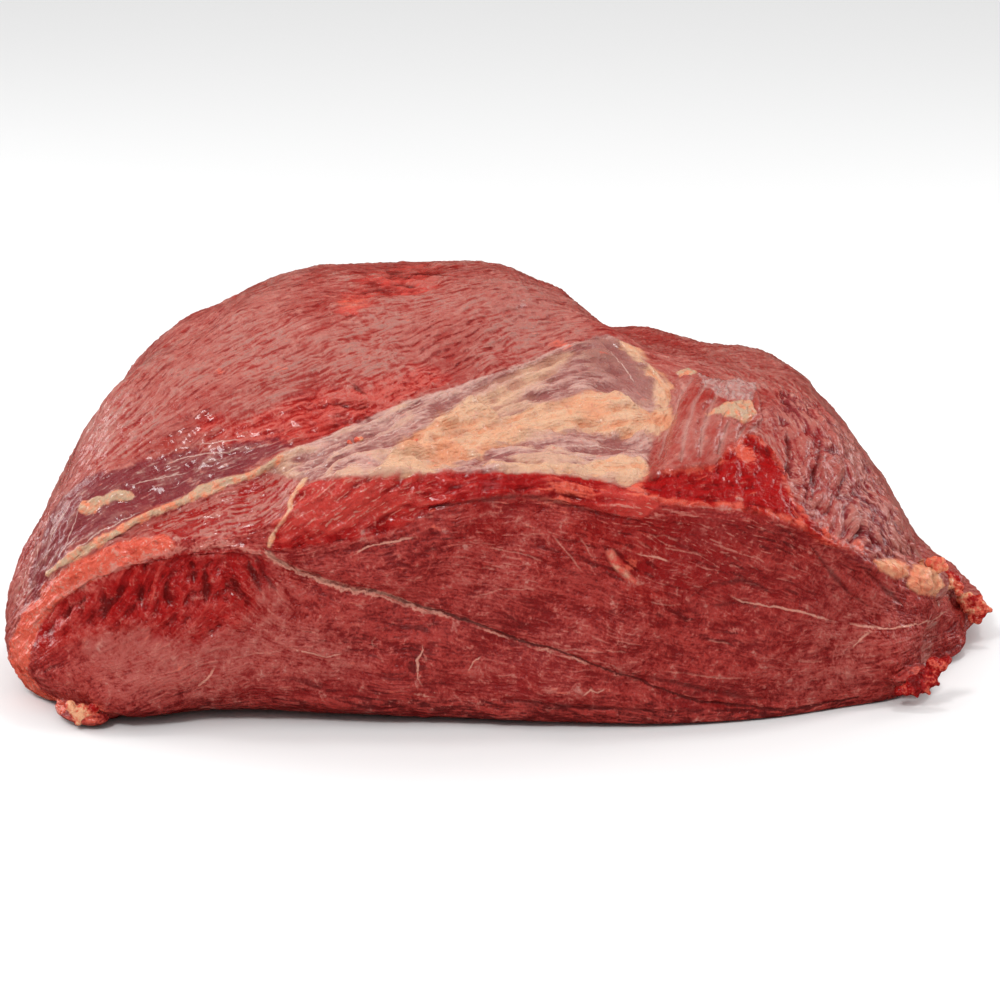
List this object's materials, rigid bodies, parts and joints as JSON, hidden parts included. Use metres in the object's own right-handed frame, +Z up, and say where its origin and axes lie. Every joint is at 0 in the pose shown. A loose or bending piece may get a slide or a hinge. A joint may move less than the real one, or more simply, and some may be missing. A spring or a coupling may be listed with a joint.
{
  "type": "raw beef shoulder clod",
  "caption": "Raw boneless beef shoulder clod: a domed joint of meat with a cut face in front, silverskin and fat on top and a thin ragged tail.",
  "frame": {"origin": "under the middle of the piece, on the surface that it lies on", "axes": "+X along its length towards the thin tail, +Y from the cut face to the back, +Z up"},
  "size_m": [0.3822, 0.2494, 0.1424],
  "materials": {
    "raw_beef": "moist raw meat: dark red cut face, pink-red outer membrane, purple-grey silverskin, cream and orange fat, soft wet sheen"
  },
  "bodies": {
    "root": {"shoulder_clod": "raw_beef"}
  },
  "joints": []
}
